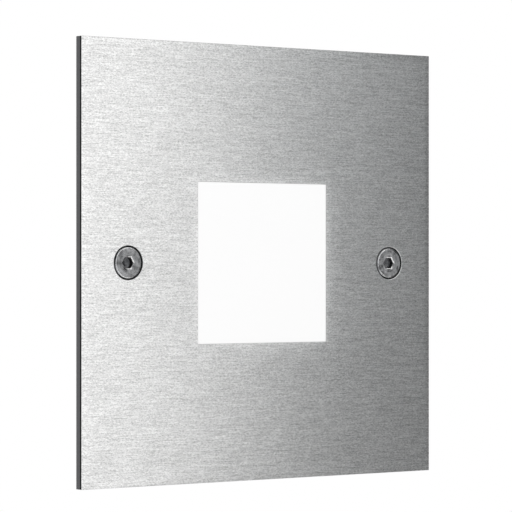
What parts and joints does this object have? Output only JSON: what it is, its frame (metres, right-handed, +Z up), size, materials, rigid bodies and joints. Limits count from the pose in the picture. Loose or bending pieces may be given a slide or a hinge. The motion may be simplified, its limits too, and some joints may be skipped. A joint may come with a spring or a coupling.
{
  "type": "step light",
  "caption": "Square recessed step light: brushed steel plate with a lit opal window and captive screws, on a sealed housing with driver and cable gland.",
  "frame": {"origin": "the point of the wall's face behind the middle of the window", "axes": "+Y into the wall, +Z up, +X to the right as seen from the front"},
  "size_m": [0.08, 0.0457, 0.08],
  "materials": {
    "brushed_plate": "stainless sheet with fine level brushing",
    "plate_screws": "bright stainless, turned",
    "fasteners": "plain stainless",
    "lit_opal": "opal acrylic, lit from behind",
    "casting": "die-cast, shot-blasted",
    "foam": "closed-cell foam rubber, matt",
    "silicone": "translucent silicone, matt",
    "gland_rubber": "smooth rubber",
    "natural_nylon": "natural nylon",
    "white_plastic": "white moulded plastic, matt",
    "black_plastic": "fine-textured black moulding",
    "grey_plastic": "grey moulded plastic",
    "white_board": "white solder mask on aluminium core",
    "green_board": "green solder mask",
    "lit_diodes": "yellow phosphor in a white body",
    "grey_pad": "soft filled silicone",
    "ferrite": "sintered ferrite, matt",
    "capacitor_can": "plain drawn can",
    "brass": "bright brass"
  },
  "bodies": {
    "root": {"front_plate": "brushed_plate", "plate_gasket": "foam", "plate_studs": "fasteners", "stud_washers": "fasteners", "stud_nuts": "fasteners", "window_seal": "silicone", "diffuser": "lit_opal", "housing": "casting", "light_frame": "white_plastic", "led_board": "white_board", "leds": "lit_diodes", "led_board_screws": "fasteners", "thermal_pad": "grey_pad", "board_connector": "black_plastic", "connector_pins": "brass", "driver_board": "green_board", "driver_board_screws": "fasteners", "driver_coil": "ferrite", "driver_capacitor": "capacitor_can", "driver_chips": "black_plastic", "terminal_block": "grey_plastic", "terminal_clamps": "brass", "terminal_screws": "fasteners", "rear_cover": "black_plastic", "rear_cover_seal": "silicone", "rear_cover_screws": "fasteners", "gland_washer": "foam", "gland_body": "black_plastic", "gland_locknut": "black_plastic", "gland_seal": "gland_rubber", "gland_nut": "black_plastic"},
    "left_washer": {"left_screw_washer": "natural_nylon"},
    "left_screw": {"left_plate_screw": "plate_screws"},
    "right_washer": {"right_screw_washer": "natural_nylon"},
    "right_screw": {"right_plate_screw": "plate_screws"}
  },
  "joints": [
    {"name": "left_screw_turn", "type": "hinge", "parent": "root", "child": "left_washer", "pos_m": [-0.03, 0, 0], "axis": [0, -1, 0], "range_deg": [0, 2880]},
    {"name": "left_screw_travel", "type": "slide", "parent": "left_washer", "child": "left_screw", "axis": [0, -1, 0], "range_m": [0, 0.004]},
    {"name": "right_screw_turn", "type": "hinge", "parent": "root", "child": "right_washer", "pos_m": [0.03, 0, 0], "axis": [0, -1, 0], "range_deg": [0, 2880]},
    {"name": "right_screw_travel", "type": "slide", "parent": "right_washer", "child": "right_screw", "axis": [0, -1, 0], "range_m": [0, 0.004]}
  ],
  "couplings": [
    {"joint": "left_screw_turn", "follows": "left_screw_travel", "rad_per_m": 12566},
    {"joint": "right_screw_turn", "follows": "right_screw_travel", "rad_per_m": 12566}
  ]
}
